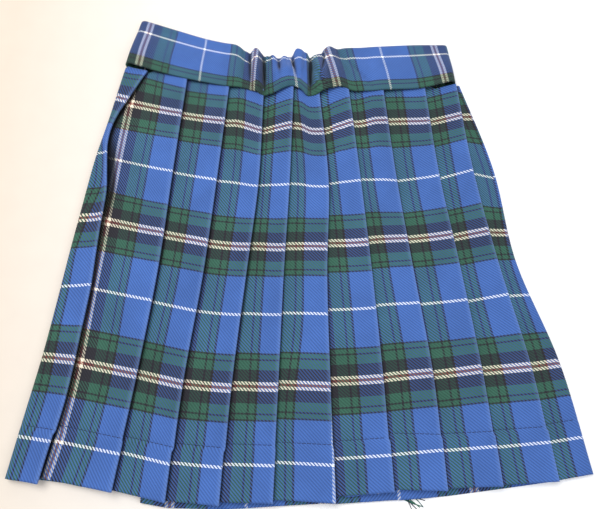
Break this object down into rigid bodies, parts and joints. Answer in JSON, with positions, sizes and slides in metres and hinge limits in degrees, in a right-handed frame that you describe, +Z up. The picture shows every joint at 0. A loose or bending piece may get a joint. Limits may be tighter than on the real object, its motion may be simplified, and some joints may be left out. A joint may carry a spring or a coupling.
{
  "type": "scottish kilt",
  "caption": "Child's tartan kilt laid flat on its front, showing a knife-pleated back under a gathered waistband.",
  "frame": {"origin": "middle of the garment's box, on the surface it lies on", "axes": "+X to the right of the back as it lies, +Y from the hem towards the waistband, +Z up from the surface"},
  "size_m": [0.3828, 0.3698, 0.0143],
  "materials": {
    "pleat_cloth": "matt 2/2 twill woven in a blue, green and navy tartan with white and maroon lines",
    "apron_cloth": "the same matt tartan twill",
    "band_cloth": "the same matt tartan twill over elastic",
    "fringe_yarn": "loose dark green and teal yarn ends"
  },
  "bodies": {
    "root": {"over_apron": "apron_cloth", "pleated_back": "pleat_cloth", "under_apron": "apron_cloth", "apron_fringe": "fringe_yarn", "waistband_back": "band_cloth", "waistband_over_apron": "band_cloth", "waistband_under_apron": "band_cloth"}
  },
  "joints": []
}
